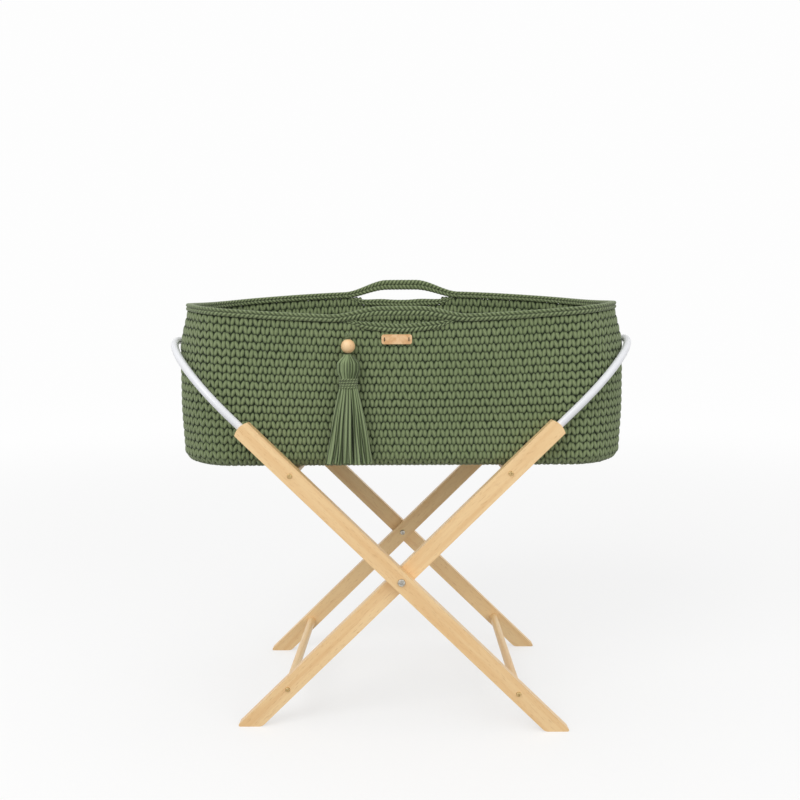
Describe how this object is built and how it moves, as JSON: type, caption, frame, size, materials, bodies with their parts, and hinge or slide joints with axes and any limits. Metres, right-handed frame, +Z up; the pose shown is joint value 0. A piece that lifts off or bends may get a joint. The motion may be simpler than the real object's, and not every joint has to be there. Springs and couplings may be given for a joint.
{
  "type": "bassinet on stand",
  "caption": "Soft crocheted oval basket with two slot handles and a tassel, held by two white tube bows in a folding wooden X-frame stand.",
  "frame": {"origin": "on the floor, under the middle of the open stand", "axes": "+X along the basket towards its right end, +Y to the back, +Z up"},
  "size_m": [0.827, 0.398, 0.7698],
  "materials": {
    "beech": "smooth clear-lacquered beech",
    "white_tube": "white powder coat, satin",
    "screw_brass": "brass-plated steel, satin",
    "bolt_steel": "nickel-plated steel, satin",
    "crochet_yarn": "thick matt sage-green cotton yarn, crocheted",
    "thread": "dark waxed thread",
    "leather": "natural tan leather, bare",
    "bead_wood": "smooth turned wood",
    "board": "thin hardboard",
    "mattress_cover": "off-white cotton cover"
  },
  "bodies": {
    "outer_frame": {"outer_front_leg": "beech", "outer_rear_leg": "beech", "left_bow": "white_tube", "upper_left_dowel": "beech", "lower_right_dowel": "beech", "outer_frame_screws": "screw_brass", "front_pivot_bolt": "bolt_steel", "front_pivot_nut": "bolt_steel", "rear_pivot_bolt": "bolt_steel", "rear_pivot_nut": "bolt_steel", "pivot_washers": "bolt_steel"},
    "inner_frame": {"inner_front_leg": "beech", "inner_rear_leg": "beech", "right_bow": "white_tube", "upper_right_dowel": "beech", "lower_left_dowel": "beech", "inner_frame_screws": "screw_brass"},
    "basket": {"basket_base": "crochet_yarn", "basket_wall": "crochet_yarn", "rim_band": "crochet_yarn", "front_handle": "crochet_yarn", "rear_handle": "crochet_yarn", "front_slot_edge": "crochet_yarn", "rear_slot_edge": "crochet_yarn", "base_board": "board", "leather_tag": "leather", "tag_stitches": "thread", "tassel_anchor": "crochet_yarn"},
    "mattress": {"mattress": "mattress_cover"},
    "tassel": {"tassel_loop": "crochet_yarn", "wooden_bead": "bead_wood", "tassel_head": "crochet_yarn", "tassel_binding": "crochet_yarn", "tassel_skirt": "crochet_yarn"}
  },
  "joints": [
    {"name": "basket_lift", "type": "slide", "parent": "outer_frame", "child": "basket", "axis": [0, 0, 1], "range_m": [0, 0.35]},
    {"name": "stand_fold", "type": "hinge", "parent": "outer_frame", "child": "inner_frame", "pos_m": [0, 0, 0.25], "axis": [0, 1, 0], "range_deg": [0, 68]},
    {"name": "mattress_lift", "type": "slide", "parent": "basket", "child": "mattress", "axis": [0, 0, 1], "range_m": [0, 0.33]},
    {"name": "tassel_swing", "type": "hinge", "parent": "basket", "child": "tassel", "pos_m": [-0.085, -0.17, 0.65038], "axis": [0, 1, 0], "range_deg": [-25, 12]}
  ],
  "couplings": [
    {"joint": "stand_fold", "follows": "basket_lift", "rad_per_m": 3.3909}
  ]
}
